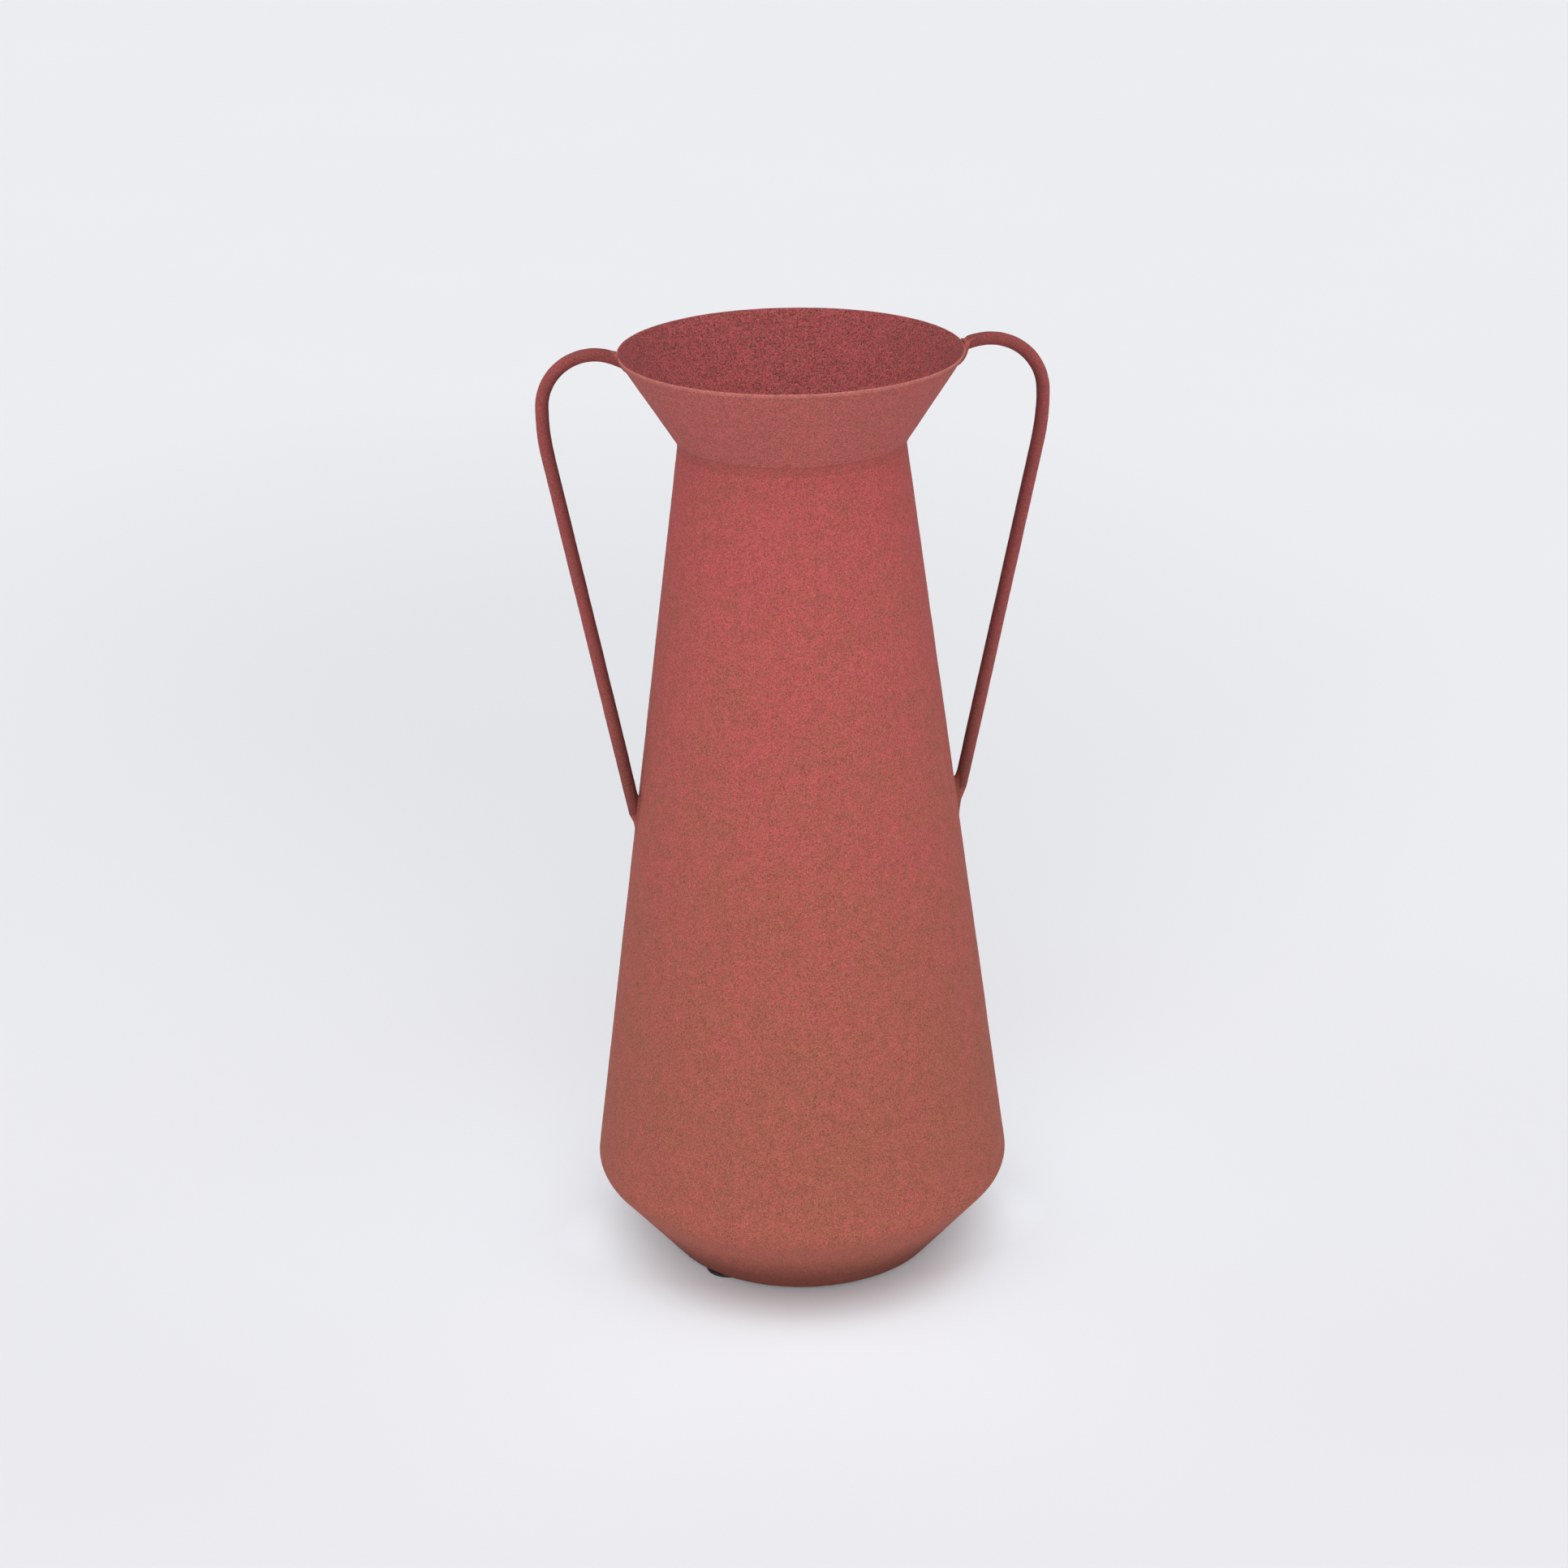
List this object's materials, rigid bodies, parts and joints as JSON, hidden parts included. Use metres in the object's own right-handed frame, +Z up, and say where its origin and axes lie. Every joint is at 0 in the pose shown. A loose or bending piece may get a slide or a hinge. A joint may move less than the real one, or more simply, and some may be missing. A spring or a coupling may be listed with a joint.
{
  "type": "amphora vase",
  "caption": "Tall sheet-metal amphora vase with a flared funnel mouth, a cone body widening down to a short inverted cone base, and bent rod handles from rim to mid body.",
  "frame": {"origin": "on the surface that the vase stands on, at the middle of its outer box, on the vase's own axis to within 1.2 mm", "axes": "+Z up along the vase's axis; the handles lie in the XZ plane, left handle at -X and right handle at +X; -Y is the front"},
  "size_m": [0.2112, 0.1796, 0.4051],
  "materials": {
    "coated_sheet": "matt, rough sand-textured coating",
    "coated_rod": "matt, rough sand-textured coating",
    "coated_weld": "matt, rough sand-textured coating over weld",
    "pad_rubber": "matt"
  },
  "bodies": {
    "root": {"mouth_funnel": "coated_sheet", "body_cone": "coated_sheet", "bottom_bowl": "coated_sheet", "base_plate": "coated_sheet", "left_handle": "coated_rod", "right_handle": "coated_rod", "neck_seam_weld": "coated_weld", "belly_seam_weld": "coated_weld", "base_seam_weld": "coated_weld", "funnel_side_seam_weld": "coated_weld", "body_side_seam_weld": "coated_weld", "left_handle_upper_weld": "coated_weld", "right_handle_upper_weld": "coated_weld", "left_handle_lower_weld": "coated_weld", "right_handle_lower_weld": "coated_weld", "foot_pads": "pad_rubber"}
  },
  "joints": []
}
